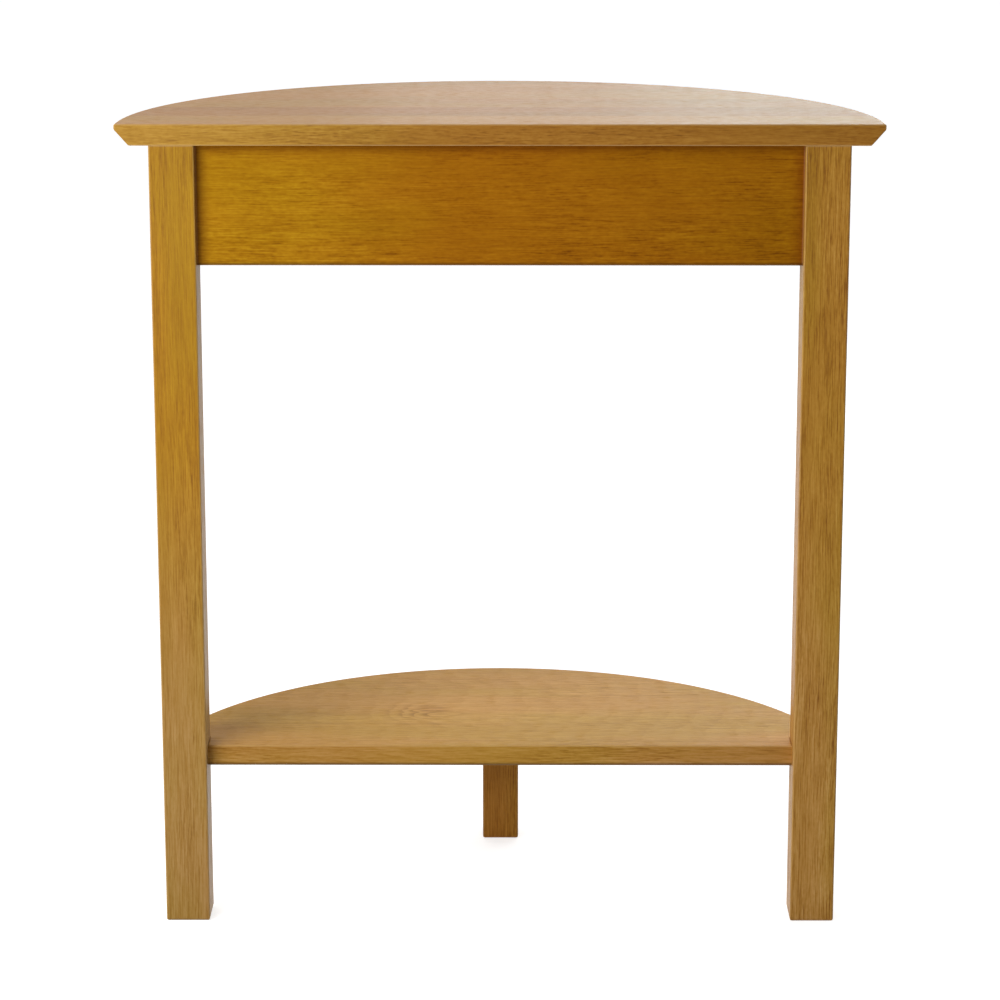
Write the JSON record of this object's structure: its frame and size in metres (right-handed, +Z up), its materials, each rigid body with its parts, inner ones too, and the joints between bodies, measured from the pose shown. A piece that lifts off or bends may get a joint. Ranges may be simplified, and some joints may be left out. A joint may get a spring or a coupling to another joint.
{
  "type": "half-moon table",
  "caption": "Half-moon wooden side table with a straight wall edge, two square legs, an apron, a low curved shelf and a short foot under it.",
  "frame": {"origin": "on the floor, under the middle of the bounding box of the top", "axes": "+X to the right along the straight edge, +Y from the straight edge towards the round edge, +Z up"},
  "size_m": [0.64, 0.32, 0.7],
  "materials": {
    "finished_wood": "satin",
    "raw_wood": "matte",
    "beech_dowel": "matte",
    "zinc_plated_steel": "satin",
    "die_cast_zinc": "satin"
  },
  "bodies": {
    "root": {"top_board": "finished_wood", "straight_apron": "finished_wood", "curved_apron": "finished_wood", "left_leg": "finished_wood", "right_leg": "finished_wood", "shelf": "finished_wood", "front_foot": "finished_wood", "left_corner_block": "raw_wood", "right_corner_block": "raw_wood", "straight_top_cleat": "raw_wood", "left_top_cleat": "raw_wood", "centre_top_cleat": "raw_wood", "right_top_cleat": "raw_wood", "corner_block_screws": "zinc_plated_steel", "cleat_screws": "zinc_plated_steel", "top_fixing_screws": "zinc_plated_steel", "leg_hanger_bolts": "zinc_plated_steel", "leg_bolt_washers": "zinc_plated_steel", "leg_bolt_nuts": "zinc_plated_steel", "shelf_dowels": "beech_dowel", "shelf_cam_bolts": "zinc_plated_steel", "shelf_cam_discs": "die_cast_zinc", "foot_hanger_bolt": "zinc_plated_steel", "foot_insert_nut": "zinc_plated_steel"}
  },
  "joints": []
}
